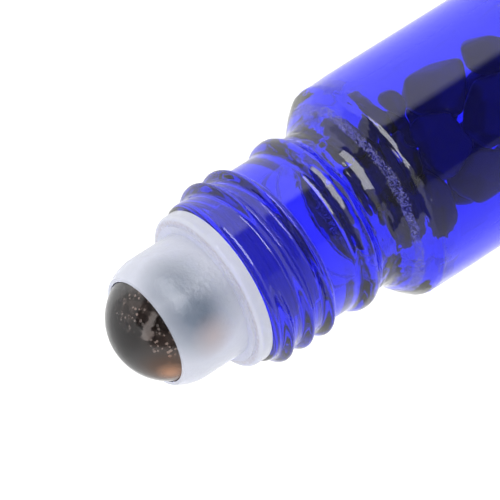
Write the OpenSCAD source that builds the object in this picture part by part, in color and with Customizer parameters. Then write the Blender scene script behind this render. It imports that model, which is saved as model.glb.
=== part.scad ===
// Roll on bottle: a glass bottle, a plug-in roller housing, a stone ball and loose stone chips inside.
// Millimetres. The bottle stands on its base at the origin, and the ball is at the top.

/* [Glass bottle] */
// Outer diameter of the body
body_d = 20; // [19:0.5:22]
// Height of the glass from its base to its rim
glass_h = 72; // [66:1:80]
// Thickness of the body's wall
wall_t = 1.9; // [1.7:0.1:2.2]
// Thickness of the glass under the hollow
base_t = 4.5; // [3.5:0.25:5.5]
// Radius of the rounded outer edge of the base
heel_r = 2; // [1.5:0.25:2.5]
// Radius of the rounded bottom corner of the hollow
hollow_corner_r = 2; // [1.5:0.25:2.5]
// Diameter of the push-up under the base
punt_d = 13; // [11:0.5:14]
// Depth of the push-up under the base
punt_depth = 0.8; // [0.5:0.1:1.2]

/* [Shoulder and neck] */
// Outer diameter of the neck
neck_d = 14.9; // [14.6:0.05:15.1]
// Diameter of the hole through the neck
bore_d = 11.2; // [11.1:0.1:11.5]
// Depth below the rim at which the body starts to round in
shoulder_drop = 16.15; // [15.9:0.05:18]
// Radius of the outer rounding of the shoulder
shoulder_r = 1.5; // [1.3:0.1:1.8]
// Radius of the fillet where the shoulder meets the neck
shoulder_fillet_r = 2; // [1.7:0.1:2.2]
// Radius of the shoulder's rounding inside the hollow, as a share of the hollow's narrowing into the neck
hollow_shoulder_share = 2; // [1.2:0.1:2]
// Radius of the inner edge where the hollow meets the neck, as a share of the same narrowing
hollow_fillet_share = 1.2; // [0.8:0.1:1.2]
// Thickness of the sloping part of the shoulder
shoulder_t = 2.2; // [2:0.1:2.5]
// Diameter over the transfer bead round the neck
bead_d = 16.25; // [16:0.05:16.6]
// Depth of the middle of the transfer bead below the rim
bead_drop = 10.05; // [9.9:0.05:10.1]
// Radius of the transfer bead's crest
bead_r = 1.2; // [1.1:0.05:1.3]
// Radius of the fillets beside the transfer bead
bead_fillet_r = 0.8; // [0.6:0.1:0.9]
// Radius of the rim's rounded outer edge
rim_r = 0.6; // [0.3:0.05:0.65]

/* [Screw thread] */
// Diameter over the thread
thread_d = 16.35; // [16.1:0.05:16.6]
// Rise of the thread in one turn
thread_pitch = 2.15; // [2:0.05:2.2]
// Width of the thread at the neck
thread_w = 1.8; // [1.6:0.1:1.9]
// Depth of the thread's upper end below the rim
thread_drop = 1; // [1:0.05:1.2]
// Turns of the thread from end to end
thread_turns = 2.4; // [2.2:0.1:2.5]
// Direction in which the thread's upper end lies, in degrees about the axis
thread_end_angle = 260; // [0:10:350]

/* [Roller ball] */
// Diameter of the ball
ball_d = 10.4; // [10.2:0.1:10.6]
// Height of the ball's middle above the rim
ball_rise = 5.2; // [5:0.1:5.4]
// Gap between the ball and its cup
ball_clearance = 0.06; // [0.04:0.01:0.1]

/* [Roller housing] */
// Thickness of the cup's wall beside the ball
cup_wall_t = 0.44; // [0.4:0.02:0.5]
// Height of the lip above the ball's middle
lip_rise = 2.35; // [2.1:0.05:2.45]
// Radius of the arc by which the cup's outside closes in toward the lip
cup_dome_r = 4.3; // [4.2:0.1:5]
// Diameter of the flange
flange_d = 14.2; // [13.8:0.1:14.3]
// Thickness of the flange at its edge
flange_t = 1.15; // [0.9:0.05:1.3]
// Radius of the flange's front edge
flange_edge_r = 0.3; // [0.2:0.05:0.4]
// Diameter of the low step on top of the flange
step_d = 12.7; // [12.5:0.1:12.9]
// Height of the low step on top of the flange
step_h = 0.25; // [0.2:0.05:0.3]
// Gap between the flange and the rim
seat_gap = 0.04; // [0.02:0.01:0.06]
// Gap between the plug's sealing ribs and the neck's hole
plug_clearance = 0.03; // [0.02:0.01:0.05]
// Length of the plug below the rim
plug_l = 6; // [5.5:0.25:7]
// Thickness of the plug's wall
plug_wall_t = 0.95; // [0.8:0.05:1]
// Height of the sealing ribs above the plug
rib_h = 0.12; // [0.08:0.02:0.16]
// Width of each sealing rib
rib_w = 0.7; // [0.6:0.05:0.8]
// Number of sealing ribs
rib_count = 3; // [2:1:3]
// Length of the plug's slim lead-in
lead_l = 0.8; // [0.6:0.1:1]
// Thickness of the web under the ball
web_t = 0.84; // [0.7:0.02:0.9]
// Diameter of the feed hole in the middle of the web
feed_d = 2.6; // [2:0.2:3]
// Diameter of the small feed holes round it
side_feed_d = 1.2; // [1:0.1:1.4]
// Number of the small feed holes
side_feed_count = 4; // [3:1:6]
// Distance of the small feed holes from the axis
side_feed_offset = 2.75; // [2.7:0.05:3]

/* [Stone chips] */
// Usual reach of a chip from its middle
chip_reach = 3.1; // [2.8:0.1:3.4]
// Radius of a chip's worn edges
chip_edge_r = 0.5; // [0.4:0.05:0.6]
// How square a chip is: 2 for an ellipsoid, and more for a block
chip_squareness = 4; // [2:1:6]
// Gap between neighbouring chips
chip_gap = 0.1; // [0.06:0.02:0.16]
// Layers of chips from the base to the shown ones
chip_layers = 7; // [6:1:7]
// How far a chip strays from its regular place
chip_stray = 0.6; // [0.2:0.1:0.8]

/* [Hidden] */
$fn = 96;
// Overrun of a cut past the surface it opens
overrun = 1;

body_r = body_d / 2;
neck_r = neck_d / 2;
bore_r = bore_d / 2;
hollow_r = body_r - wall_t;
shoulder_z = glass_h - shoulder_drop;
bead_z = glass_h - bead_drop;
ball_r = ball_d / 2;
ball_z = glass_h + ball_rise;

hollow_shoulder_r = hollow_shoulder_share * (hollow_r - bore_r);
hollow_fillet_r = hollow_fillet_share * (hollow_r - bore_r);

// Where the shoulder's 45 degree slope would meet the axis, outside and inside
slope_z = shoulder_z + body_r - shoulder_r + sqrt(2) * shoulder_r;
hollow_slope_z = slope_z - sqrt(2) * shoulder_t;
hollow_shoulder_z = hollow_slope_z - hollow_r + hollow_shoulder_r - sqrt(2) * hollow_shoulder_r;

// Radius of the sphere that hollows the push-up
punt_r = (pow(punt_d / 2, 2) + pow(punt_depth, 2)) / (2 * punt_depth);

cup_r = ball_r + ball_clearance;
cup_outer_r = cup_r + cup_wall_t;
flange_bottom_z = glass_h + seat_gap;
flange_top_z = flange_bottom_z + flange_t;
rib_r = bore_r - plug_clearance;
plug_r = rib_r - rib_h;
plug_bore_r = plug_r - plug_wall_t;
plug_bottom_z = glass_h - plug_l;
rib_pitch = (plug_l - lead_l - rib_w) / rib_count;
// Share of a rib's width over which it rises, and over which it falls
rib_slope_share = 1 / 3;

// Each shown chip: place across, depth from the axis and height, then its reach along the same three.
// Across and depth are shares of the hollow's radius, and height is a share of the hollow's height.
// The reaches are shares of the usual reach, and the last value is its lean from upright in degrees.
shown_chip_shares = [
    [0.60, 0.30, 0.966, 0.58, 0.75, 0.60, 0],
    [0.62, 0.34, 0.875, 0.33, 0.60, 0.26, 0],
    [0.47, 0.34, 0.788, 0.76, 0.85, 0.94, -10],
    [0.50, 0.34, 0.662, 0.34, 0.80, 0.95, -45],
    [0.04, 0.40, 0.960, 0.95, 0.80, 0.80, 10],
    [-0.02, 0.24, 0.846, 1.00, 0.80, 0.95, -15],
    [-0.02, 0.28, 0.715, 0.95, 0.80, 1.05, 10],
    [-0.48, 0.34, 0.930, 0.66, 0.80, 0.85, 15],
    [-0.50, 0.32, 0.810, 0.66, 0.75, 0.95, -10],
    [-0.50, 0.34, 0.685, 0.66, 0.75, 0.95, 12],
    [0.36, 0.72, 0.890, 0.65, 0.60, 0.80, 0],
    [0.30, 0.74, 0.785, 0.75, 0.55, 0.85, 0],
    [0.20, 0.74, 0.668, 0.70, 0.55, 0.95, 0],
    [-0.16, 0.76, 0.880, 0.70, 0.55, 0.80, 0],
    [-0.58, 0.62, 0.820, 0.60, 0.60, 0.80, 0],
    [-0.18, 0.78, 0.745, 0.70, 0.55, 0.80, 0],
    [-0.58, 0.62, 0.708, 0.60, 0.60, 0.80, 0],
    [-0.14, 0.78, 0.640, 0.70, 0.55, 0.80, 0],
];
// Regular places of the chips in one layer below them: across, depth from the axis, height within the layer
layer_place_shares = [
    [-0.52, 0.24, 0.20],
    [0.02, 0.20, 0.62],
    [0.54, 0.26, 0.36],
    [-0.28, 0.72, 0.76],
    [0.32, 0.72, 0.08],
];
// Place and reaches of a regular chip, whose place comes from its layer
layer_chip_shares = [0, 0, 0, 1, 0.85, 1, 0];
// Height up to which the regular layers reach, as a share of the hollow's height
layers_top_share = 0.58;

floor_z = base_t;
hollow_h = shoulder_z - floor_z;
layer_h = layers_top_share * hollow_h / chip_layers;
layer_chip_count = chip_layers * len(layer_place_shares);
chip_count = len(shown_chip_shares) + layer_chip_count;
// Directions in which each chip grows, and the sides of its rounded corners
growth_directions = 18;
corner_fn = 8;
golden_angle = 180 * (3 - sqrt(5));
stray_seed = 17;
// Room between the middle of a chip's rounded corner and the hollow, and the height that no chip passes
keep_off = chip_edge_r + chip_gap;
chips_top_z = hollow_shoulder_z + hollow_shoulder_r;
// Steps in which a corner draws back until it is inside the hollow
growth_steps = 24;
strays = rands(-1, 1, 3 * chip_count, stray_seed);

function two_digits(i) = i < 10 ? str("0", i) : str(i);
function chip_name(i) = str("chip_", two_digits(i + 1));

// Half outline of a shoulder: a wide part rounds in, slopes at 45 degrees and meets a narrow part
module shoulder_outline(wide_r, narrow_r, start_z, round_r, fillet_r, meet_z) {
    fillet_z = meet_z - narrow_r - fillet_r + sqrt(2) * fillet_r;
    diagonal = sqrt(1 / 2);
    intersection() {
        translate([wide_r - round_r, start_z])
            circle(round_r);
        translate([0, start_z])
            square([wide_r, round_r]);
    }
    difference() {
        polygon([
            [0, start_z],
            [wide_r - round_r, start_z],
            [wide_r - round_r + diagonal * round_r, start_z + diagonal * round_r],
            [narrow_r + fillet_r - diagonal * fillet_r, fillet_z - diagonal * fillet_r],
            [narrow_r + fillet_r, fillet_z],
            [0, fillet_z],
        ]);
        translate([narrow_r + fillet_r, fillet_z])
            circle(fillet_r);
    }
}

// Half outline of the transfer bead, with a fillet above and below
module bead_outline() {
    crest_x = bead_d / 2 - bead_r;
    fillet_x = neck_r + bead_fillet_r;
    reach = sqrt(pow(bead_r + bead_fillet_r, 2) - pow(fillet_x - crest_x, 2));
    translate([crest_x, bead_z])
        circle(bead_r);
    for (side = [-1, 1])
        difference() {
            polygon([
                [0, bead_z],
                [crest_x, bead_z],
                [fillet_x, bead_z + side * reach],
                [0, bead_z + side * reach],
            ]);
            translate([fillet_x, bead_z + side * reach])
                circle(bead_fillet_r);
        }
}

// Half outline of the glass before it is hollowed
module glass_outline() {
    translate([0, heel_r])
        square([body_r, shoulder_z - heel_r]);
    square([body_r - heel_r, heel_r]);
    translate([body_r - heel_r, heel_r])
        circle(heel_r);
    shoulder_outline(body_r, neck_r, shoulder_z, shoulder_r, shoulder_fillet_r, slope_z);
    translate([0, shoulder_z])
        square([neck_r, glass_h - rim_r - shoulder_z]);
    square([neck_r - rim_r, glass_h]);
    translate([neck_r - rim_r, glass_h - rim_r])
        circle(rim_r);
    bead_outline();
}

// Half outline of the hollow
module hollow_outline() {
    translate([0, floor_z + hollow_corner_r])
        square([hollow_r, hollow_shoulder_z - floor_z - hollow_corner_r]);
    translate([0, floor_z])
        square([hollow_r - hollow_corner_r, hollow_corner_r]);
    translate([hollow_r - hollow_corner_r, floor_z + hollow_corner_r])
        circle(hollow_corner_r);
    shoulder_outline(
        hollow_r, bore_r, hollow_shoulder_z, hollow_shoulder_r, hollow_fillet_r, hollow_slope_z
    );
    translate([0, hollow_shoulder_z])
        square([bore_r, glass_h + overrun - hollow_shoulder_z]);
}

// The thread's section: a smooth ridge whose foot and root lie inside the neck
thread_foot = 0.3;
thread_root = 0.6;
thread_ridge_shares = [-0.5, -0.28, -0.14, 0, 0.14, 0.28, 0.5];
thread_step_angle = 9;
// Angle over which the thread rises out of the neck at each end, and its share of full height at its tips
thread_fade_angle = 60;
thread_tip_share = 0.2;

function ridge_height(share) = pow(cos(180 * share), 2);
function thread_fade(a, total) = min(1, thread_tip_share + min(a, total - a) / thread_fade_angle);
function ridge_radius(share, fade) =
    neck_r - thread_foot + (thread_d / 2 - neck_r + thread_foot) * fade * ridge_height(share);

// One ring of points of the thread, at the angle a below its upper end
function thread_ring(a, total) =
    let (turn = thread_end_angle - a, z = glass_h - thread_drop - thread_pitch * a / 360)
    concat(
        [for (share = thread_ridge_shares)
            let (r = ridge_radius(share, thread_fade(a, total)))
            [r * cos(turn), r * sin(turn), z + share * thread_w]],
        [for (side = [0.5, -0.5])
            let (r = neck_r - thread_root)
            [r * cos(turn), r * sin(turn), z + side * thread_w]]
    );

module thread() {
    total = 360 * thread_turns;
    steps = round(total / thread_step_angle);
    ring_size = len(thread_ridge_shares) + 2;
    points = [for (i = [0 : steps]) each thread_ring(i * total / steps, total)];
    sides = [for (i = [0 : steps - 1], j = [0 : ring_size - 1])
        let (here = i * ring_size, next = here + ring_size, k = (j + 1) % ring_size)
        each [[here + j, next + k, here + k], [here + j, next + j, next + k]]];
    first_cap = [for (j = [0 : ring_size - 1]) j];
    last_cap = [for (j = [ring_size - 1 : -1 : 0]) steps * ring_size + j];
    polyhedron(points, concat(sides, [first_cap, last_cap]));
}

module glass_bottle() {
    color([0.13, 0.13, 0.85, 0.6])
        difference() {
            union() {
                rotate_extrude()
                    glass_outline();
                thread();
            }
            rotate_extrude()
                hollow_outline();
            translate([0, 0, punt_depth - punt_r])
                sphere(punt_r);
        }
}

// Half outline of the housing before its hollows are cut
module housing_outline() {
    translate([0, plug_bottom_z + lead_l])
        square([plug_r, flange_bottom_z - plug_bottom_z - lead_l]);
    polygon([
        [0, plug_bottom_z],
        [plug_r - rib_h, plug_bottom_z],
        [plug_r, plug_bottom_z + lead_l],
        [0, plug_bottom_z + lead_l],
    ]);
    for (i = [0 : rib_count - 1])
        translate([0, plug_bottom_z + lead_l + i * rib_pitch])
            polygon([
                [0, 0],
                [plug_r, 0],
                [rib_r, rib_slope_share * rib_w],
                [rib_r, (1 - rib_slope_share) * rib_w],
                [plug_r, rib_w],
                [0, rib_w],
            ]);
    translate([0, flange_bottom_z])
        square([flange_d / 2, flange_t - flange_edge_r]);
    translate([0, flange_bottom_z])
        square([flange_d / 2 - flange_edge_r, flange_t]);
    translate([flange_d / 2 - flange_edge_r, flange_top_z - flange_edge_r])
        circle(flange_edge_r);
    translate([0, flange_top_z])
        square([step_d / 2, step_h]);
    translate([0, flange_top_z])
        square([cup_outer_r, ball_z - flange_top_z]);
    translate([0, ball_z])
        square([cup_outer_r - cup_dome_r, lip_rise]);
    intersection() {
        translate([cup_outer_r - cup_dome_r, ball_z])
            circle(cup_dome_r);
        translate([0, ball_z])
            square([cup_outer_r, lip_rise]);
    }
}

// The hollow of the plug, whose roof follows the web under the ball
module plug_hollow() {
    difference() {
        translate([0, 0, plug_bottom_z - overrun])
            cylinder(r = plug_bore_r, h = ball_z - plug_bottom_z + overrun);
        translate([0, 0, ball_z])
            sphere(cup_r + web_t);
        translate([0, 0, ball_z])
            cylinder(r = cup_r + web_t, h = cup_r + web_t);
    }
}

module feed_holes() {
    translate([0, 0, plug_bottom_z])
        cylinder(d = feed_d, h = ball_z - plug_bottom_z);
    for (i = [0 : side_feed_count - 1])
        rotate(i * 360 / side_feed_count)
            translate([side_feed_offset, 0, plug_bottom_z])
                cylinder(d = side_feed_d, h = ball_z - plug_bottom_z, $fn = 32);
}

module roller_housing() {
    color([0.86, 0.87, 0.93, 0.9])
        difference() {
            rotate_extrude()
                housing_outline();
            translate([0, 0, ball_z])
                sphere(cup_r);
            plug_hollow();
            feed_holes();
        }
}

module roller_ball() {
    color([0.2, 0.17, 0.16])
        translate([0, 0, ball_z])
            sphere(ball_r);
}

// Middle of a chip
function shown_place(i) = let (s = shown_chip_shares[i])
    [s[0] * hollow_r, s[1] * hollow_r, floor_z + s[2] * hollow_h];
function layer_place(i) =
    let (
        layer = floor(i / len(layer_place_shares)),
        s = layer_place_shares[i % len(layer_place_shares)],
        n = 3 * (len(shown_chip_shares) + i),
        stray = [for (k = [0 : 2]) chip_stray * strays[n + k]]
    )
    [s[0] * hollow_r, s[1] * hollow_r, floor_z + (layer + s[2]) * layer_h + chip_reach / 2] + stray;
chip_places = concat(
    [for (i = [0 : len(shown_chip_shares) - 1]) shown_place(i)],
    [for (i = [0 : layer_chip_count - 1]) layer_place(i)]
);

function chip_shares(i) = i < len(shown_chip_shares) ? shown_chip_shares[i] : layer_chip_shares;

// How far a chip grows by itself along a direction, as a leaning block with bulging sides
function own_reach(i, d) =
    let (
        s = chip_shares(i),
        across = d[0] * cos(s[6]) + d[2] * sin(s[6]),
        up = d[2] * cos(s[6]) - d[0] * sin(s[6])
    )
    chip_reach / pow(
        pow(abs(across) / s[3], chip_squareness) + pow(abs(d[1]) / s[4], chip_squareness)
        + pow(abs(up) / s[5], chip_squareness),
        1 / chip_squareness
    );

// Mean reach of a chip, by which neighbours share the room between their middles
function chip_size(i) = (chip_shares(i)[3] + chip_shares(i)[4] + chip_shares(i)[5]) / 3;

// How far a chip grows before it meets the face that it shares with another chip
function neighbour_reach(i, j, d) =
    let (
        apart = chip_places[j] - chip_places[i],
        far = norm(apart),
        toward = (apart * d) / far,
        near_share = chip_size(i) / (chip_size(i) + chip_size(j))
    )
    toward <= 0 ? 2 * chip_reach : (far * near_share - chip_gap / 2 - chip_edge_r) / toward;

// Radius of the hollow at a height, without the neck
function hollow_radius(z) =
    let (
        below = floor_z + hollow_corner_r - z,
        above = z - hollow_shoulder_z
    )
    below > 0 ? hollow_r - hollow_corner_r + sqrt(max(0, pow(hollow_corner_r, 2) - pow(below, 2))) :
    above > sqrt(1 / 2) * hollow_shoulder_r ? hollow_slope_z - z :
    above > 0 ? hollow_r - hollow_shoulder_r + sqrt(pow(hollow_shoulder_r, 2) - pow(above, 2)) :
    hollow_r;

// Whether a chip's rounded corner at a point keeps inside the hollow, on the pile's side of it
function keeps_inside(p) =
    let (lift = sign(hollow_h / 2 + floor_z - p[2]) * keep_off)
    p[2] > floor_z + keep_off
    && p[2] < chips_top_z - chip_edge_r
    && norm([p[0], p[1]]) + keep_off < hollow_radius(p[2] - lift)
    && p[1] > -chip_edge_r / 2;

function corner_reach(i, d) =
    let (
        limit = min(
            own_reach(i, d),
            min([for (j = [0 : chip_count - 1]) j == i ? 2 * chip_reach : neighbour_reach(i, j, d)])
        ),
        tries = [for (k = [growth_steps : -1 : 1])
            if (keeps_inside(chip_places[i] + d * limit * k / growth_steps)) limit * k / growth_steps]
    )
    len(tries) > 0 ? tries[0] : 0;

function direction(i, k) =
    let (
        up = 1 - (2 * k + 1) / growth_directions,
        turn = golden_angle * (k + i),
        flat = sqrt(1 - up * up)
    )
    [flat * cos(turn), flat * sin(turn), up];

module chip(i) {
    color([0.16, 0.16, 0.3])
        hull()
            for (k = [0 : growth_directions - 1])
                translate(chip_places[i] + direction(i, k) * corner_reach(i, direction(i, k)))
                    sphere(chip_edge_r, $fn = corner_fn);
}

glass_bottle();
roller_housing();
roller_ball();
for (i = [0 : chip_count - 1])
    chip(i);
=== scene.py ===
"""Looks of the roll on bottle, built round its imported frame.

Lengths are in millimetres until a mesh or a node takes them.
"""
import math

import bpy
from mathutils import Matrix, Vector, noise


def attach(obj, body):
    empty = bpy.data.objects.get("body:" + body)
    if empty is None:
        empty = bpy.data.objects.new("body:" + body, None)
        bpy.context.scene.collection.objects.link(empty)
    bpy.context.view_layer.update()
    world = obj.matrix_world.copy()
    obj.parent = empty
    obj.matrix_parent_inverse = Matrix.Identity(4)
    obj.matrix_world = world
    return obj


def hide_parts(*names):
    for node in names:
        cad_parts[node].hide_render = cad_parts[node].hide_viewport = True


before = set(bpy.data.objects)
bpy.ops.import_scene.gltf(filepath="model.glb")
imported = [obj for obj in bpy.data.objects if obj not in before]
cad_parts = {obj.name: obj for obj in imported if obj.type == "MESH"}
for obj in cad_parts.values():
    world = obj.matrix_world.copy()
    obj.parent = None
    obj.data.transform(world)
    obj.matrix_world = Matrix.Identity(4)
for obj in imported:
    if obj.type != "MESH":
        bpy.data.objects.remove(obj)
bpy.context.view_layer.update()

MM = 0.001

# Glass bottle, with the values of the CAD source
BODY_R = 10
GLASS_H = 72
WALL_T = 1.9
BASE_T = 4.5
HEEL_R = 2
HOLLOW_CORNER_R = 2
PUNT_R_AT_BASE = 6.5
PUNT_DEPTH = 0.8
NECK_R = 7.45
BORE_R = 5.6
SHOULDER_Z = GLASS_H - 16.15
SHOULDER_ROUND_R = 1.5
SHOULDER_FILLET_R = 2
HOLLOW_SHOULDER_R = 5
HOLLOW_FILLET_R = 3
SHOULDER_T = 2.2
BEAD_CREST_R = 16.25 / 2
BEAD_Z = GLASS_H - 10.05
BEAD_ROUND_R = 1.2
BEAD_FILLET_R = 0.8
RIM_R = 0.6

THREAD_CREST_R = 16.35 / 2
THREAD_PITCH = 2.15
THREAD_W = 1.8
THREAD_TOP_Z = GLASS_H - 1
THREAD_TURNS = 2.4
THREAD_END_ANGLE = 260
THREAD_FOOT = 0.3
THREAD_FADE_ANGLE = 60
THREAD_TIP_SHARE = 0.2
THREAD_BLEND = 0.06

BALL_R = 5.2
BALL_Z = GLASS_H + 5.2

# How finely the round pieces are divided
GLASS_SIDES = 192
BALL_SIDES = 96
ARC_STEP_ANGLE = 4
BODY_STEP = 2
SHOULDER_STEP = 0.15
BASE_STEP = 1

# Waves left in the glass by its mould, as depths, and the usual length of a wave along the axis
OUTER_WAVE_DEPTH = 0.1
INNER_WAVE_DEPTH = 0.12
OUTER_WAVE_SEED = 0
INNER_WAVE_SEED = 50
WAVE_LENGTH = 0.55
WAVE_TURNS = 4
WAVE_MEAN = 0.5
RIPPLE_SHARE = 0.35
RIPPLES_IN_WAVE = 3
WAVE_LOW_Z = SHOULDER_Z - 3
WAVE_HIGH_Z = BEAD_Z + BEAD_ROUND_R
WAVE_FADE = 2


# Outlines of the glass, as points (radius, height)
def arc(middle, radius, start, end):
    """Points of an arc from one angle to another, in degrees."""
    count = max(2, round(abs(end - start) / ARC_STEP_ANGLE))
    angles = [math.radians(start + (end - start) * i / count) for i in range(count + 1)]
    return [(middle[0] + radius * math.cos(a), middle[1] + radius * math.sin(a)) for a in angles]


def line(start, end, step):
    """Points of a straight run between two points, without its ends."""
    count = max(2, round(math.dist(start, end) / step))
    return [
        (start[0] + (end[0] - start[0]) * i / count, start[1] + (end[1] - start[1]) * i / count)
        for i in range(1, count)
    ]


def shoulder_points(wide_r, narrow_r, start_z, round_r, fillet_r, meet_z):
    """A wide part rounds in, slopes at 45 degrees and meets a narrow part in a fillet."""
    fillet_z = meet_z - narrow_r - fillet_r + math.sqrt(2) * fillet_r
    rounding = arc((wide_r - round_r, start_z), round_r, 0, 45)
    fillet = arc((narrow_r + fillet_r, fillet_z), fillet_r, 225, 180)
    return rounding + line(rounding[-1], fillet[0], SHOULDER_STEP) + fillet


def bead_points():
    """The transfer bead with its fillets, from below to above."""
    crest = (BEAD_CREST_R - BEAD_ROUND_R, BEAD_Z)
    fillet_r = NECK_R + BEAD_FILLET_R
    reach = math.sqrt((BEAD_ROUND_R + BEAD_FILLET_R) ** 2 - (fillet_r - crest[0]) ** 2)
    turn = math.degrees(math.atan2(reach, fillet_r - crest[0]))
    lower = arc((fillet_r, BEAD_Z - reach), BEAD_FILLET_R, 180, 180 - turn)
    upper = arc((fillet_r, BEAD_Z + reach), BEAD_FILLET_R, 180 + turn, 180)
    return lower[:-1] + arc(crest, BEAD_ROUND_R, -turn, turn) + upper[1:]


def push_up_points():
    """The hollow under the base, from the axis to its edge."""
    sphere_r = (PUNT_R_AT_BASE ** 2 + PUNT_DEPTH ** 2) / (2 * PUNT_DEPTH)
    flat = [(0, 0)] + line((0, 0), (PUNT_R_AT_BASE, 0), BASE_STEP) + [(PUNT_R_AT_BASE, 0)]
    return [(r, PUNT_DEPTH - sphere_r + math.sqrt(sphere_r ** 2 - r ** 2)) for r, _ in flat]


def outer_points():
    """Outside of the glass, from the axis under the base to the top of the rim."""
    slope_z = SHOULDER_Z + BODY_R - SHOULDER_ROUND_R + math.sqrt(2) * SHOULDER_ROUND_R
    push_up = push_up_points()
    heel = arc((BODY_R - HEEL_R, HEEL_R), HEEL_R, -90, 0)
    shoulder = shoulder_points(BODY_R, NECK_R, SHOULDER_Z, SHOULDER_ROUND_R, SHOULDER_FILLET_R, slope_z)
    bead = bead_points()
    rim = arc((NECK_R - RIM_R, GLASS_H - RIM_R), RIM_R, 0, 90)
    return (
        push_up + line(push_up[-1], heel[0], BASE_STEP) + heel
        + line(heel[-1], shoulder[0], BODY_STEP) + shoulder
        + line(shoulder[-1], bead[0], SHOULDER_STEP) + bead
        + line(bead[-1], rim[0], SHOULDER_STEP) + rim
    )


def inner_points():
    """Hollow of the glass, from the rim down to the axis on its floor."""
    slope_z = SHOULDER_Z + BODY_R - SHOULDER_ROUND_R + math.sqrt(2) * (SHOULDER_ROUND_R - SHOULDER_T)
    hollow_r = BODY_R - WALL_T
    start_z = slope_z - hollow_r + HOLLOW_SHOULDER_R - math.sqrt(2) * HOLLOW_SHOULDER_R
    shoulder = shoulder_points(hollow_r, BORE_R, start_z, HOLLOW_SHOULDER_R, HOLLOW_FILLET_R, slope_z)
    shoulder.reverse()
    corner = arc((hollow_r - HOLLOW_CORNER_R, BASE_T + HOLLOW_CORNER_R), HOLLOW_CORNER_R, 0, -90)
    return (
        [(BORE_R, GLASS_H)] + line((BORE_R, GLASS_H), shoulder[0], BASE_STEP) + shoulder
        + line(shoulder[-1], corner[0], BODY_STEP) + corner
        + line(corner[-1], (0, BASE_T), BASE_STEP) + [(0, BASE_T)]
    )


# Shapes that a turned piece takes at an angle in degrees and a height
def thread_radius(angle, z):
    """Radius of the screw thread's ridge, or zero away from it."""
    total = 360 * THREAD_TURNS
    first = (THREAD_END_ANGLE - angle) % 360
    ridge = 0
    for turn in range(math.ceil(THREAD_TURNS)):
        turned = first + 360 * turn
        share = (z - THREAD_TOP_Z + THREAD_PITCH * turned / 360) / THREAD_W
        if turned <= total and abs(share) < 0.5:
            fade = min(1, THREAD_TIP_SHARE + min(turned, total - turned) / THREAD_FADE_ANGLE)
            rise = (THREAD_CREST_R - NECK_R + THREAD_FOOT) * fade * math.cos(math.pi * share) ** 2
            ridge = max(ridge, NECK_R - THREAD_FOOT + rise)
    return ridge


def smooth_max(a, b, blend):
    """The larger of two lengths, rounded off where they are nearly the same."""
    spread = max(blend - abs(a - b), 0) / blend
    return max(a, b) + spread * spread * blend / 4


def wave(angle, z, seed):
    """Smooth noise on the shoulder, from 0 to 1: its waves are wide round the axis and short along it."""
    a = math.radians(angle)
    place = Vector((WAVE_TURNS * math.cos(a), WAVE_TURNS * math.sin(a), z / WAVE_LENGTH + seed))
    swell = (1 - RIPPLE_SHARE) * noise.noise(place)
    ripple = RIPPLE_SHARE * noise.noise(RIPPLES_IN_WAVE * place)
    fade = min(1, max(0, min(z - WAVE_LOW_Z, WAVE_HIGH_Z - z) / WAVE_FADE))
    return fade * min(1, max(0, WAVE_MEAN + swell + ripple))


def outer_radius(r, z, angle):
    """The outside with the waves on its shoulder and the thread on its neck."""
    waved = r - OUTER_WAVE_DEPTH * wave(angle, z, OUTER_WAVE_SEED)
    return smooth_max(waved, thread_radius(angle, z), THREAD_BLEND)


def inner_radius(r, z, angle):
    """The hollow with the waves on its shoulder."""
    return r - INNER_WAVE_DEPTH * wave(angle, z, INNER_WAVE_SEED)


def plain_radius(r, z, angle):
    """A round piece that is the same at every angle."""
    return r


# Meshes
def make_piece(name, vertices, faces):
    """A new object in the scene, from vertices in millimetres."""
    mesh = bpy.data.meshes.new(name)
    mesh.from_pydata([Vector(v) * MM for v in vertices], [], faces)
    piece = bpy.data.objects.new(name, mesh)
    bpy.context.scene.collection.objects.link(piece)
    return piece


def lathe(name, rings, sides):
    """A closed smooth mesh turned round the axis.

    Each ring is (radius, height, shape), and the first and last ones lie on the axis.
    """
    vertices = [(0, 0, rings[0][1])]
    for r, z, shape in rings[1:-1]:
        for k in range(sides):
            turned = shape(r, z, 360 * k / sides)
            a = math.tau * k / sides
            vertices.append((turned * math.cos(a), turned * math.sin(a), z))
    vertices.append((0, 0, rings[-1][1]))
    last = len(vertices) - 1
    faces = []
    for k in range(sides):
        following = (k + 1) % sides
        faces.append((0, 1 + following, 1 + k))
        for here in range(1, last - sides, sides):
            above = here + sides
            faces.append((here + k, here + following, above + following, above + k))
        faces.append((last - sides + k, last - sides + following, last))
    piece = make_piece(name, vertices, faces)
    piece.data.polygons.foreach_set("use_smooth", [True] * len(faces))
    return piece


def make_glass():
    """The bottle as one closed skin, outside and hollow."""
    outside = [(r, z, outer_radius) for r, z in outer_points()]
    hollow = [(r, z, inner_radius) for r, z in inner_points()]
    return lathe("glass_bottle_smooth", outside + hollow, GLASS_SIDES)


def make_ball():
    """The roller ball at its place in the housing."""
    rings = [(r, z, plain_radius) for r, z in arc((0, BALL_Z), BALL_R, -90, 90)]
    return lathe("roller_ball_smooth", rings, BALL_SIDES)


# Places of the sockets of a node that mixes colours
MIX_SHARE = 0
MIX_BELOW = 6
MIX_ABOVE = 7
MIXED = 2


# Node helpers
def add(tree, kind, inputs, **settings):
    """A shader node with its settings, and each input as a value or as the output that feeds it."""
    made = tree.nodes.new("ShaderNode" + kind)
    for name, value in settings.items():
        setattr(made, name, value)
    for name, value in inputs.items():
        if isinstance(value, bpy.types.NodeSocket):
            tree.links.new(value, made.inputs[name])
        else:
            made.inputs[name].default_value = value
    return made


def maths(tree, operation, a, b=0.0):
    """The result of a calculation with one or two values."""
    return add(tree, "Math", {0: a, 1: b}, operation=operation).outputs[0]


def fold(tree, operation, values):
    """The result of a calculation that takes in several values one by one."""
    result = values[0]
    for value in values[1:]:
        result = maths(tree, operation, result, value)
    return result


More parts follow.
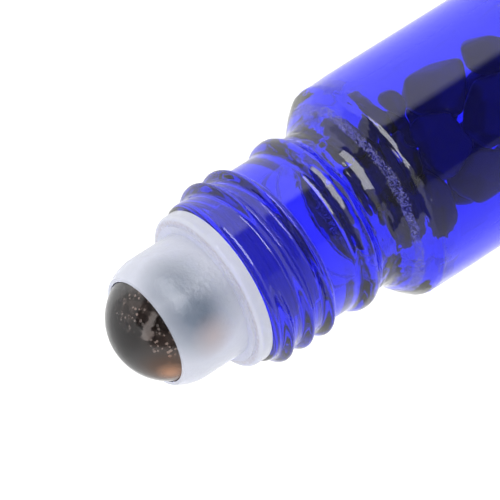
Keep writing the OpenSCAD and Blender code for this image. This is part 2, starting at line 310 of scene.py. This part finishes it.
def product(tree, *values):
    """Several values multiplied."""
    return fold(tree, "MULTIPLY", values)


def highest(tree, *values):
    """The highest of several values."""
    return fold(tree, "MAXIMUM", values)


def ramp(tree, value, start, end, low=0.0, high=1.0):
    """A value that runs from low to high while another runs from start to end, and holds outside."""
    inputs = {"Value": value, "From Min": start, "From Max": end, "To Min": low, "To Max": high}
    return add(tree, "MapRange", inputs).outputs["Result"]


def lay_over(tree, share, below, above):
    """A colour laid over another with a share, each as three numbers or as the output that feeds it."""
    ends = [end if isinstance(end, bpy.types.NodeSocket) else (*end, 1) for end in (below, above)]
    inputs = {MIX_SHARE: share, MIX_BELOW: ends[0], MIX_ABOVE: ends[1]}
    return add(tree, "Mix", inputs, data_type="RGBA").outputs[MIXED]


def place_on(tree):
    """The piece's own coordinates, in metres."""
    return add(tree, "TexCoord", {}).outputs["Object"]


def height_on(tree):
    """The height on the piece, in metres."""
    return add(tree, "SeparateXYZ", {"Vector": place_on(tree)}).outputs["Z"]


def distance_from_axis(tree):
    """The distance from the bottle's axis, in metres."""
    parts = add(tree, "SeparateXYZ", {"Vector": place_on(tree)})
    flat = add(tree, "CombineXYZ", {"X": parts.outputs["X"], "Y": parts.outputs["Y"]})
    return add(tree, "VectorMath", {0: flat.outputs[0]}, operation="LENGTH").outputs["Value"]


def distance_to(tree, value, target):
    """How far a value is from a target, above or below it."""
    return maths(tree, "ABSOLUTE", maths(tree, "SUBTRACT", value, target))


def near_point(tree, point, inner, outer, share=1.0):
    """A mask that falls from a share to zero between two distances from a point."""
    spot = Vector(point) * MM
    off = add(tree, "VectorMath", {0: place_on(tree), 1: spot}, operation="DISTANCE").outputs["Value"]
    return ramp(tree, off, inner * MM, outer * MM, share, 0.0)


def speckle(tree, grain, low=0.0, high=1.0):
    """A mask of noise that runs from low to high between two levels of the noise."""
    scale, start, end, detail = grain
    made = add(tree, "TexNoise", {"Vector": place_on(tree), "Scale": scale, "Detail": detail})
    return ramp(tree, made.outputs["Fac"], start, end, low, high)


def bump(tree, shader, height, depth):
    """Lets a mask from 0 to 1 stand out from the surface by a depth."""
    made = add(tree, "Bump", {"Height": height, "Distance": depth * MM, "Strength": 1.0})
    tree.links.new(made.outputs["Normal"], shader.inputs["Normal"])


def absorb(tree, output, colour, density):
    """Gives the piece's inside a colour that deepens with its thickness."""
    volume = add(tree, "VolumeAbsorption", {"Color": (*colour, 1), "Density": density})
    tree.links.new(volume.outputs["Volume"], output.inputs["Volume"])


def empty_material(name):
    """A material that has no nodes yet, and its tree."""
    material = bpy.data.materials.new(name)
    material.use_nodes = True
    material.node_tree.nodes.clear()
    return material, material.node_tree


def new_material(name, **inputs):
    """A node material with one principled shader, and its tree, shader and output."""
    material, tree = empty_material(name)
    shader = add(tree, "BsdfPrincipled", {key.replace("_", " "): value for key, value in inputs.items()})
    output = add(tree, "OutputMaterial", {"Surface": shader.outputs["BSDF"]})
    return material, tree, shader, output


def dress(piece, material):
    """Gives a piece one material in place of what it has."""
    piece.data.materials.clear()
    piece.data.materials.append(material)


# Grains of noise, as scale per metre, level where the mask starts, level where it is full, and detail
DUST_GRAIN = (2200, 0.76, 0.78, 2)
RING_GRAIN = (7500, 0.5, 0.64, 2)
RING_WANDER_GRAIN = (500, 0.3, 0.7, 3)
STONE_GRAIN = (400, 0.3, 0.7, 2)
# The next grain only breaks up the painted shade on the plastic
SHADE_BREAKUP_GRAIN = (300, 0.25, 0.75, 3)
PLASTIC_GRAIN = (2500, 0.3, 0.7, 4)
FLANGE_LINE_GRAIN = (3500, 0.3, 0.6, 2)
MOTTLE_GRAIN = (1500, 0.4, 0.65, 2)
STREAK_GRAIN = (1800, 0.3, 0.7, 4)

# Glass, with its haze from the body up to the neck
GLASS_IOR = 1.52
GLASS_SPECULAR = 0.6
GLASS_ROUGHNESS = 0.01
GLASS_COLOUR = (0.01, 0.01, 0.965)
GLASS_DENSITY = 1100
DUST_SHARE = 0.17
HAZE_START_Z = 54
HAZE_END_Z = 58
BODY_HAZE = 0.003
NECK_HAZE = 0.017

# Grainy ring that the mould left on the shoulder, and the radius inside which the hollow stays free of it
RING_Z = 57.73
RING_HALF_W = 0.17
RING_WOBBLE = 0.14
RING_ROUGHNESS = 0.25
RING_DEPTH = 0.05
RING_INNER_R = NECK_R + 0.4
RING_INNER_FADE = 0.1


def ring_mask(tree):
    """One on the grainy ring that the mould left on the shoulder, zero away from it."""
    wobble = speckle(tree, RING_WANDER_GRAIN, -RING_WOBBLE * MM, RING_WOBBLE * MM)
    off = distance_to(tree, maths(tree, "ADD", height_on(tree), wobble), RING_Z * MM)
    band = ramp(tree, off, RING_HALF_W * MM, 2 * RING_HALF_W * MM, 1.0, 0.0)
    inner_end = (RING_INNER_R + RING_INNER_FADE) * MM
    outside = ramp(tree, distance_from_axis(tree), RING_INNER_R * MM, inner_end)
    return product(tree, band, outside)


def glass_material():
    """Cobalt glass with its mould's grainy ring, a little dust and a haze on the neck."""
    material, tree, shader, output = new_material(
        "cobalt_glass", Base_Color=(1, 1, 1, 1), IOR=GLASS_IOR, Specular_IOR_Level=GLASS_SPECULAR
    )
    grains = product(tree, ring_mask(tree), speckle(tree, RING_GRAIN))
    roughness = ramp(tree, grains, 0.0, 1.0, GLASS_ROUGHNESS, RING_ROUGHNESS)
    tree.links.new(roughness, shader.inputs["Roughness"])
    cloudy = product(tree, highest(tree, grains, speckle(tree, DUST_GRAIN)), DUST_SHARE)
    haze = ramp(tree, height_on(tree), HAZE_START_Z * MM, HAZE_END_Z * MM, BODY_HAZE, NECK_HAZE)
    clear = maths(tree, "SUBTRACT", 1.0, maths(tree, "ADD", cloudy, haze))
    tree.links.new(clear, shader.inputs["Transmission Weight"])
    bump(tree, shader, grains, RING_DEPTH)
    absorb(tree, output, GLASS_COLOUR, GLASS_DENSITY)
    return material


# Frosted plastic
PLASTIC_IOR = 1.4
PLASTIC_ROUGHNESS = 0.25
PLASTIC_CLEAR_SHARE = 0.35
PLASTIC_DEPTH = 0.02
PLASTIC_COLOUR = (0.86, 0.885, 1.0)
# Colour of the painted shade, where the dark ball would darken the wall
PAINTED_SHADE_COLOUR = (0.18, 0.235, 0.33)
# Colour of a painted warm glow, as of light coming through the ball
PAINTED_GLOW_COLOUR = (0.80, 0.62, 0.60)
SHADE_BREAKUP_LOW = 0.75

# Painted shade and a painted warm glow on the plastic, as middle, distances between which they fade, and
# share
PAINTED_SHADES = [
    ((-0.9, -5.6, 77.2), 0.9, 4.4, 1.0),
    ((2.0, -5.3, 77.2), 0.7, 3.6, 0.85),
]
# Painted warm glow on the plastic, as of light coming through the ball
PAINTED_GLOW = ((-3.2, -4.7, 76.6), 0.2, 2.2, 0.5)

# Ragged line round the front of the flange
FLANGE_LINE_COLOUR = (0.72, 0.64, 0.66)
FLANGE_LINE_SHARE = 0.6
FLANGE_LINE_R = 6.6
FLANGE_LINE_HALF_W = 0.1
FLANGE_LINE_FADE = 0.2
FLANGE_LINE_LOW_Z = GLASS_H + 0.9
FLANGE_LINE_HIGH_Z = GLASS_H + 1.1


def flange_line(tree):
    """A ragged band round the front of the flange, where its mould parts met."""
    off = distance_to(tree, distance_from_axis(tree), FLANGE_LINE_R * MM)
    outer_end = (FLANGE_LINE_HALF_W + FLANGE_LINE_FADE) * MM
    band = ramp(tree, off, FLANGE_LINE_HALF_W * MM, outer_end, 1.0, 0.0)
    front = ramp(tree, height_on(tree), FLANGE_LINE_LOW_Z * MM, FLANGE_LINE_HIGH_Z * MM)
    return product(tree, band, front, speckle(tree, FLANGE_LINE_GRAIN))


def plastic_material():
    """Frosted plastic with a painted shade where the dark ball would darken the wall before it, and a
    painted warm glow.
    """
    material, tree, shader, _ = new_material(
        "frosted_plastic",
        Roughness=PLASTIC_ROUGHNESS, Transmission_Weight=PLASTIC_CLEAR_SHARE, IOR=PLASTIC_IOR
    )
    # Painted shade: a darker colour laid where the dark ball would show through the wall, broken up by noise
    shade = highest(tree, *[near_point(tree, *mark) for mark in PAINTED_SHADES])
    shade = product(tree, shade, speckle(tree, SHADE_BREAKUP_GRAIN, SHADE_BREAKUP_LOW, 1.0))
    line_mask = flange_line(tree)
    colour = lay_over(tree, shade, PLASTIC_COLOUR, PAINTED_SHADE_COLOUR)
    # Painted warm glow laid over the colour
    colour = lay_over(tree, near_point(tree, *PAINTED_GLOW), colour, PAINTED_GLOW_COLOUR)
    colour = lay_over(tree, product(tree, line_mask, FLANGE_LINE_SHARE), colour, FLANGE_LINE_COLOUR)
    tree.links.new(colour, shader.inputs["Base Color"])
    bump(tree, shader, maths(tree, "ADD", line_mask, speckle(tree, PLASTIC_GRAIN)), PLASTIC_DEPTH)
    return material


# Ball of smoky stone
BALL_IOR = 1.54
BALL_ROUGHNESS = 0.16
BALL_DEEP_COLOUR = (0.5, 0.39, 0.33)
BALL_DENSITY = 420
BALL_GREY = (0.50, 0.46, 0.45)
# Brown of the speck clusters and of the painted warm glow
BALL_BROWN = (0.52, 0.24, 0.12)

# Directions in which the ball's marks face
SPECK_SPOTS = [(0.46, -0.63, 0.63), (-0.36, -0.72, 0.59)]
STREAK_SPOTS = [
    (0.15, -0.85, 0.51), (0.12, -0.82, 0.56), (0.07, -0.78, 0.62), (0.03, -0.73, 0.68),
    (-0.02, -0.68, 0.73), (-0.06, -0.64, 0.77), (-0.05, -0.72, 0.69),
]
# Direction of the painted warm glow, as of light focused through the ball
BALL_PAINTED_GLOW_SPOT = (-0.74, -0.32, 0.58)

# Marks on the ball, as distances in radii between which they fade, and share
CLUSTER = (0.15, 0.5, 1.0)
STREAK_CORE = (0.0, 0.14, 1.0)
# The last three are the painted warm glow, as of light focused through the ball
BALL_PAINTED_GLOW = (0.05, 0.32, 0.68)
BALL_PAINTED_GLOW_HAZE = (0.1, 0.8, 0.17)
BALL_PAINTED_GLOW_FRINGE = (0.3, 0.6, 1.0)

SPECK_SHARE = 0.4
MOTTLE_SHARE = 0.09
CLUSTER_WARMTH = 0.35
STREAK_SHARE = 0.27
STREAK_RAGGEDNESS = 0.5
STREAK_START = 0.62
STREAK_END = 0.92

# Round specks, as cells per metre, and the largest radius and the soft edge as shares of a cell
SPECK_CELLS = 3000
SPECK_LARGEST = 0.52
SPECK_EDGE = 0.1


def near_direction(tree, toward, inner, outer, share):
    """A mask on the ball that falls from a share to zero between two distances, in radii, from a spot."""
    spot = Vector((0, 0, BALL_Z)) + BALL_R * Vector(toward).normalized()
    return near_point(tree, spot, inner * BALL_R, outer * BALL_R, share)


def round_specks(tree):
    """Round dots of unlike sizes, one or none in each cell."""
    cells = add(tree, "TexVoronoi", {"Vector": place_on(tree), "Scale": SPECK_CELLS})
    chance = add(tree, "SeparateColor", {"Color": cells.outputs["Color"]}).outputs["Red"]
    reach = maths(tree, "SUBTRACT", product(tree, chance, SPECK_LARGEST), cells.outputs["Distance"])
    return ramp(tree, reach, 0.0, SPECK_EDGE)


def streak_mask(tree):
    """The pale streak, with a ragged outline."""
    core = highest(tree, *[near_direction(tree, spot, *STREAK_CORE) for spot in STREAK_SPOTS])
    ragged = maths(tree, "ADD", core, speckle(tree, STREAK_GRAIN, 0.0, STREAK_RAGGEDNESS))
    return ramp(tree, ragged, STREAK_START, STREAK_END, 0.0, STREAK_SHARE)


def ball_material():
    """Smoky stone with a pale streak, clusters of specks and brown mottles, and a painted warm glow where
    light focused through the ball would show.
    """
    material, tree, shader, output = new_material("smoky_stone", IOR=BALL_IOR, Roughness=BALL_ROUGHNESS)
    cluster = highest(tree, *[near_direction(tree, spot, *CLUSTER) for spot in SPECK_SPOTS])
    solid = highest(
        tree,
        product(tree, cluster, round_specks(tree), SPECK_SHARE),
        product(tree, cluster, speckle(tree, MOTTLE_GRAIN), MOTTLE_SHARE),
        streak_mask(tree),
        # Painted warm glow: the stone is less clear there, so its colour shows
        near_direction(tree, BALL_PAINTED_GLOW_SPOT, *BALL_PAINTED_GLOW),
        near_direction(tree, BALL_PAINTED_GLOW_SPOT, *BALL_PAINTED_GLOW_HAZE),
    )
    tree.links.new(maths(tree, "SUBTRACT", 1.0, solid), shader.inputs["Transmission Weight"])
    # Brown of the painted warm glow at its fringe, with the brown of the speck clusters
    painted_glow_fringe = near_direction(tree, BALL_PAINTED_GLOW_SPOT, *BALL_PAINTED_GLOW_FRINGE)
    warm = highest(tree, painted_glow_fringe, product(tree, cluster, CLUSTER_WARMTH))
    tree.links.new(lay_over(tree, warm, BALL_GREY, BALL_BROWN), shader.inputs["Base Color"])
    absorb(tree, output, BALL_DEEP_COLOUR, BALL_DENSITY)
    return material


# Stone chips, whose faces a fine remesh and a smoothing round off
CHIP_ROUGHNESS = 0.3
CHIP_DARK = (0.04, 0.035, 0.022)
CHIP_LIGHT = (0.07, 0.06, 0.035)
CHIP_VOXEL = 0.2
POLISH_STEPS = 30


def chip_material():
    """Dark tumbled stone with faint clouds."""
    material, tree, shader, _ = new_material("chip_stone", Roughness=CHIP_ROUGHNESS)
    colour = lay_over(tree, speckle(tree, STONE_GRAIN), CHIP_DARK, CHIP_LIGHT)
    tree.links.new(colour, shader.inputs["Base Color"])
    return material


def round_off(chip):
    """Rounds a chip's faces off as tumbling does."""
    remesh = chip.modifiers.new("rounding", "REMESH")
    remesh.mode = "VOXEL"
    remesh.voxel_size = CHIP_VOXEL * MM
    remesh.use_smooth_shade = True
    smooth = chip.modifiers.new("polish", "SMOOTH")
    smooth.iterations = POLISH_STEPS


glass = make_glass()
dress(glass, glass_material())
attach(glass, "bottle")
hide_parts("glass_bottle")

ball = make_ball()
dress(ball, ball_material())
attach(ball, "ball")
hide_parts("roller_ball")

dress(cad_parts["roller_housing"], plastic_material())

stone = chip_material()
for name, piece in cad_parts.items():
    if name.startswith("chip_"):
        dress(piece, stone)
        round_off(piece)


# Camera, from the way the photograph looks at the bottle
CAMERA_PLACE = (1.07, -303.46, 195.75)
CAMERA_RIGHT = (-0.5377, -0.3273, -0.7770)
CAMERA_BACK = (0, -0.9216, 0.3882)
CAMERA_LENS = 288
CAMERA_SENSOR = 36
CAMERA_NEAR = 10
CAMERA_FAR = 100000


def camera_matrix():
    """Where the camera stands and how it is turned."""
    right = Vector(CAMERA_RIGHT).normalized()
    back = Vector(CAMERA_BACK).normalized()
    turn = Matrix((right, back.cross(right), back)).transposed().to_4x4()
    return Matrix.Translation(Vector(CAMERA_PLACE) * MM) @ turn


def make_camera():
    """The camera that takes the picture."""
    lens = bpy.data.cameras.new("camera")
    lens.sensor_width = CAMERA_SENSOR
    lens.lens = CAMERA_LENS
    lens.clip_start = CAMERA_NEAR * MM
    lens.clip_end = CAMERA_FAR * MM
    camera = bpy.data.objects.new("camera", lens)
    camera.matrix_world = camera_matrix()
    bpy.context.scene.collection.objects.link(camera)
    bpy.context.scene.camera = camera


# Studio
FLOOR_REACH = 3000
FLOOR_GAP = 0.01
FLOOR_GREY = 0.6
WORLD_LIGHT = 1.2

# Strength of the world through glass overhead, and the direction heights between which it falls to that
OVERHEAD_LIGHT = 0.12
OVERHEAD_START = 0.3
OVERHEAD_END = 0.8


def seen_rays(tree):
    """Two masks: one of the rays that show what they meet, and one of those that do so through glass.

    The others that show it go straight to the camera or are gloss.
    """
    path = add(tree, "LightPath", {})
    through = path.outputs["Is Transmission Ray"]
    return highest(tree, path.outputs["Is Camera Ray"], path.outputs["Is Glossy Ray"], through), through


def floor_material():
    """A grey that the light falls on and that, where it is seen, glows up to white."""
    material, tree = empty_material("floor")
    grey = (FLOOR_GREY, FLOOR_GREY, FLOOR_GREY, 1)
    seen, _ = seen_rays(tree)
    lit = add(tree, "BsdfDiffuse", {"Color": grey})
    glow = add(tree, "Emission", {"Color": grey, "Strength": seen})
    both = add(tree, "AddShader", {0: lit.outputs[0], 1: glow.outputs[0]})
    add(tree, "OutputMaterial", {"Surface": both.outputs[0]})
    return material


def make_floor():
    """A wide flat floor just under the base."""
    corners = [(-1, -1), (1, -1), (1, 1), (-1, 1)]
    floor = make_piece("floor", [(FLOOR_REACH * x, FLOOR_REACH * y, 0) for x, y in corners], [(0, 1, 2, 3)])
    floor.location.z = -FLOOR_GAP * MM
    dress(floor, floor_material())


def make_world():
    """White where it is seen, dimmer overhead through glass, and a plain level as light."""
    world = bpy.data.worlds.new("studio")
    bpy.context.scene.world = world
    world.use_nodes = True
    tree = world.node_tree
    seen, through = seen_rays(tree)
    toward = add(tree, "TexCoord", {}).outputs["Generated"]
    height = add(tree, "SeparateXYZ", {"Vector": toward}).outputs["Z"]
    sky = ramp(tree, height, OVERHEAD_START, OVERHEAD_END, 1.0, OVERHEAD_LIGHT)
    shown = ramp(tree, through, 0.0, 1.0, 1.0, sky)
    strength = ramp(tree, seen, 0.0, 1.0, WORLD_LIGHT, shown)
    tree.links.new(strength, tree.nodes["Background"].inputs["Strength"])
    tree.nodes["Background"].inputs["Color"].default_value = (1, 1, 1, 1)


# Cards: parts of a shell round the bottle, with azimuth 0 along -Y and angles in degrees
CARD_MIDDLE = Vector((0, 0, 55))
CARD_R = 80
CARD_STEPS = 24

# Each card's name, azimuths, elevations, light at its first and its last azimuth, and whether glass shows it
CARDS = [
    ("dark_card_low", (-23, 38), (-62, -3), (0.05, 0.05), False),
    ("soft_edge_card", (38, 45), (-62, -3), (0.05, 1.8), False),
    ("pale_card_low", (-110, -23), (-62, 0), (1.3, 0.3), False),
    ("pale_card_high", (45, 180), (-62, 0), (1.8, 1.0), False),
    ("pale_card_top", (61, 180), (1, 38), (2.0, 1.1), False),
    ("dark_card_high", (-60, 60), (27, 75), (0.01, 0.01), True),
    ("window_card", (-1, 56), (-1, 26), (7.0, 7.0), False),
]


def shell_point(azimuth, elevation):
    """A point of the shell in a direction given in degrees."""
    turn = math.radians(azimuth)
    rise = math.radians(elevation)
    flat = math.cos(rise)
    return CARD_MIDDLE + CARD_R * Vector((math.sin(turn) * flat, -math.cos(turn) * flat, math.sin(rise)))


def make_shell(name, azimuths, elevations):
    """A card's mesh, with its share of the way between the two azimuths as a map."""
    shares = [i / CARD_STEPS for i in range(CARD_STEPS + 1)]
    row = len(shares)
    turns = [azimuths[0] + (azimuths[1] - azimuths[0]) * share for share in shares]
    rises = [elevations[0] + (elevations[1] - elevations[0]) * share for share in shares]
    vertices = [shell_point(turn, rise) for rise in rises for turn in turns]
    corners = [i * row + k for i in range(1, row) for k in range(1, row)]
    faces = [(here, here - 1, here - row - 1, here - row) for here in corners]
    shell = make_piece(name, vertices, faces)
    share_map = shell.data.uv_layers.new(name="share").data
    for loop in shell.data.loops:
        share_map[loop.index].uv = (shares[loop.vertex_index % row], 0)
    return shell


def card_material(name, lights):
    """A glow that runs from one strength to another between the card's two azimuths."""
    material, tree = empty_material(name)
    share = add(tree, "UVMap", {}, uv_map="share").outputs["UV"]
    along = add(tree, "SeparateXYZ", {"Vector": share}).outputs["X"]
    glow = add(tree, "Emission", {"Color": (1, 1, 1, 1), "Strength": ramp(tree, along, 0.0, 1.0, *lights)})
    add(tree, "OutputMaterial", {"Surface": glow.outputs[0]})
    return material


def card(name, azimuths, elevations, lights, through_glass):
    """A card that shows in gloss and, if asked, through glass, and that gives no light."""
    shell = make_shell(name, azimuths, elevations)
    dress(shell, card_material(name, lights))
    shell.visible_camera = False
    shell.visible_diffuse = False
    shell.visible_shadow = False
    shell.visible_transmission = through_glass


make_camera()
make_floor()
make_world()
for values in CARDS:
    card(*values)

# How often light may bounce, on the whole and by kind
LIGHT_BOUNCES = 24
GLASS_BOUNCES = 20
GLOSS_BOUNCES = 8
CLEAR_BOUNCES = 8

scene = bpy.context.scene
scene.view_settings.view_transform = "Standard"
scene.cycles.use_denoising = True
scene.cycles.max_bounces = LIGHT_BOUNCES
scene.cycles.transmission_bounces = GLASS_BOUNCES
scene.cycles.glossy_bounces = GLOSS_BOUNCES
scene.cycles.transparent_max_bounces = CLEAR_BOUNCES
